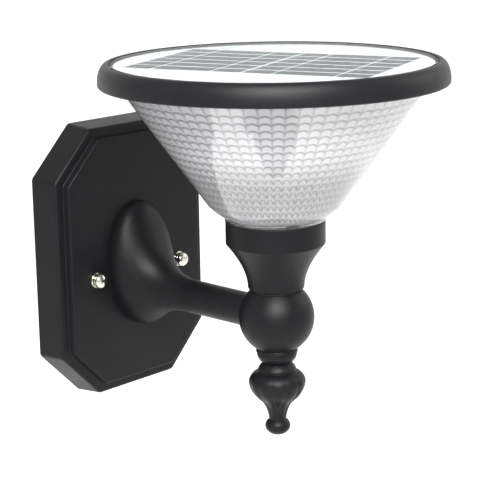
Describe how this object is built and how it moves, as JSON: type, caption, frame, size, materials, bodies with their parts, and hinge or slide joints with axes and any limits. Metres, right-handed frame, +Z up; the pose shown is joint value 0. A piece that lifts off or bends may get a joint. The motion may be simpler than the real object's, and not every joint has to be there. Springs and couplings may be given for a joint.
{
  "type": "solar wall light",
  "caption": "Wall light with an octagonal plate, a short arm, and a turning head with a prismatic cone lens under a round solar panel.",
  "frame": {"origin": "on the wall, midway between the two fixing screws", "axes": "+X along the wall, +Y into the wall, +Z up"},
  "size_m": [0.25, 0.3023, 0.28],
  "materials": {
    "black_coat": "satin black powder coat on die-cast aluminium",
    "black_plastic": "satin black",
    "zinc": "zinc plated",
    "stainless": "polished",
    "dark_rubber": "matte black",
    "nylon": "black nylon",
    "white_plastic": "white",
    "clear_plastic": "clear, prismatic",
    "frosted_plastic": "frosted",
    "led_yellow": "phosphor yellow",
    "board_green": "solder mask",
    "board_black": "moulded parts",
    "cell_wrap": "blue film on round cells",
    "silicon": "dark grey solar cells",
    "clear_glass": "clear tempered glass",
    "button_red": "red"
  },
  "bodies": {
    "wall_mount": {"wall_plate": "black_coat", "mounting_bar": "zinc", "fixing_screws": "stainless", "lock_nuts": "stainless", "nut_washers": "stainless", "cap_nuts": "stainless", "arm": "black_coat", "arm_screws": "zinc", "ball_hub": "black_coat", "center_rod": "zinc", "finial": "black_coat", "swivel_washer": "nylon", "clamp_washer": "stainless", "clamp_nut": "zinc"},
    "head": {"neck_cup": "black_coat", "lens_seal": "dark_rubber", "prism_lens": "clear_plastic", "lens_screws": "stainless", "led_base": "white_plastic", "led_board": "white_plastic", "led_chips": "led_yellow", "led_cover": "frosted_plastic", "led_leads": "dark_rubber", "lamp_tray": "white_plastic", "rim_ring": "black_plastic", "rim_screw_set": "stainless", "battery_holder": "black_plastic", "battery_cells": "cell_wrap", "battery_strap": "zinc", "strap_screws": "stainless", "charge_board": "board_green", "board_parts": "board_black", "board_screws": "stainless", "panel_backing": "white_plastic", "solar_cells": "silicon", "cell_ribbons": "stainless", "glass_seal": "dark_rubber", "solar_glass": "clear_glass", "power_switch": "black_plastic", "switch_nut": "zinc"},
    "button": {"power_button": "button_red"}
  },
  "joints": [
    {"name": "head_swivel", "type": "hinge", "parent": "wall_mount", "child": "head", "pos_m": [0, -0.1773, 0.0099], "axis": [0, 0, 1], "continuous": true},
    {"name": "button_press", "type": "slide", "parent": "head", "child": "button", "axis": [-0.3681, -0.9298, 0], "range_m": [0, 0.0015], "stiffness_N_per_m": 800, "springref_m": -0.0015}
  ]
}
